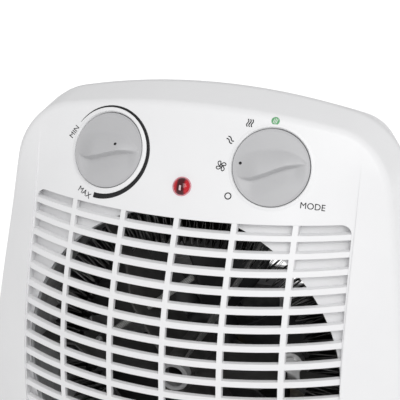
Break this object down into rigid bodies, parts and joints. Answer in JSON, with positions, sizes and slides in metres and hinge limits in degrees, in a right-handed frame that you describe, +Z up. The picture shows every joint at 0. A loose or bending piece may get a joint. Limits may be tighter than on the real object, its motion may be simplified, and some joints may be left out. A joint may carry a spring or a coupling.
{
  "type": "fan convector heater",
  "caption": "Upright fan heater: bowed white casing with leaning control panel, slatted outlet grille, heating ribbons, axial fan and motor, thermostat and mode dials.",
  "frame": {"origin": "on the ground under the middle of the casing", "axes": "+Z up, the air outlet and control panel face -Y, +X to the right of someone facing the back"},
  "size_m": [0.228, 0.124, 0.25],
  "materials": {
    "casing_white": "fine satin moulding",
    "knob_grey": "satin",
    "lens_red": "clear red",
    "lamp_glass": "clear",
    "duct_steel": "galvanised sheet",
    "bracket_steel": "galvanised sheet",
    "ribbon_alloy": "oxidised resistance ribbon",
    "mica": "layered mica sheet",
    "ceramic_white": "unglazed",
    "lead_sleeve": "glass-fibre sleeve",
    "cutout_metal": "pressed",
    "fan_black": "moulded",
    "core_steel": "stacked laminations",
    "bridge_alloy": "die cast",
    "coil_tape": "tape over copper winding",
    "shaft_steel": "ground",
    "screw_zinc": "zinc plated",
    "black_plastic": "moulded",
    "switch_plastic": "moulded",
    "bimetal": "rolled strip",
    "foot_rubber": "moulded"
  },
  "bodies": {
    "casing": {"front_shell": "casing_white", "front_grille": "casing_white", "rear_shell": "casing_white", "feet": "foot_rubber", "casing_screws": "screw_zinc", "thermostat_body": "ceramic_white", "thermostat_blade": "bimetal", "mode_switch": "switch_plastic", "control_screws": "screw_zinc", "indicator_lens": "lens_red", "lamp_clip": "black_plastic", "neon_lamp": "lamp_glass", "air_duct": "duct_steel", "heater_frame": "mica", "centre_ring": "ceramic_white", "front_ribbon": "ribbon_alloy", "rear_ribbon": "ribbon_alloy", "element_lead": "lead_sleeve", "thermal_cutout": "cutout_metal", "thermal_fuse": "cutout_metal", "element_terminals": "cutout_metal", "motor_bracket": "bracket_steel", "front_bridge": "bridge_alloy", "motor_stator": "core_steel", "motor_coil": "coil_tape", "rear_bridge": "bridge_alloy", "motor_screws": "screw_zinc", "terminal_block": "switch_plastic", "cord_gland": "black_plastic", "cord_clamp": "black_plastic"},
    "thermostat_dial": {"thermostat_knob": "knob_grey", "thermostat_spindle": "shaft_steel"},
    "mode_dial": {"mode_knob": "knob_grey", "mode_spindle": "black_plastic"},
    "fan_rotor": {"motor_rotor": "core_steel", "motor_shaft": "shaft_steel", "fan_impeller": "fan_black", "fan_clip": "shaft_steel"}
  },
  "joints": [
    {"name": "thermostat_turn", "type": "hinge", "parent": "casing", "child": "thermostat_dial", "pos_m": [-0.0413, -0.01809, 0.224], "axis": [-0.13, -0.8761, 0.4644], "range_deg": [-110, 150]},
    {"name": "mode_turn", "type": "hinge", "parent": "casing", "child": "mode_dial", "pos_m": [0.0413, -0.01809, 0.224], "axis": [0.13, -0.8761, 0.4644], "range_deg": [-87, 41]},
    {"name": "fan_spin", "type": "hinge", "parent": "casing", "child": "fan_rotor", "pos_m": [0, 0.01, 0.121], "axis": [0, 1, 0], "continuous": true}
  ]
}
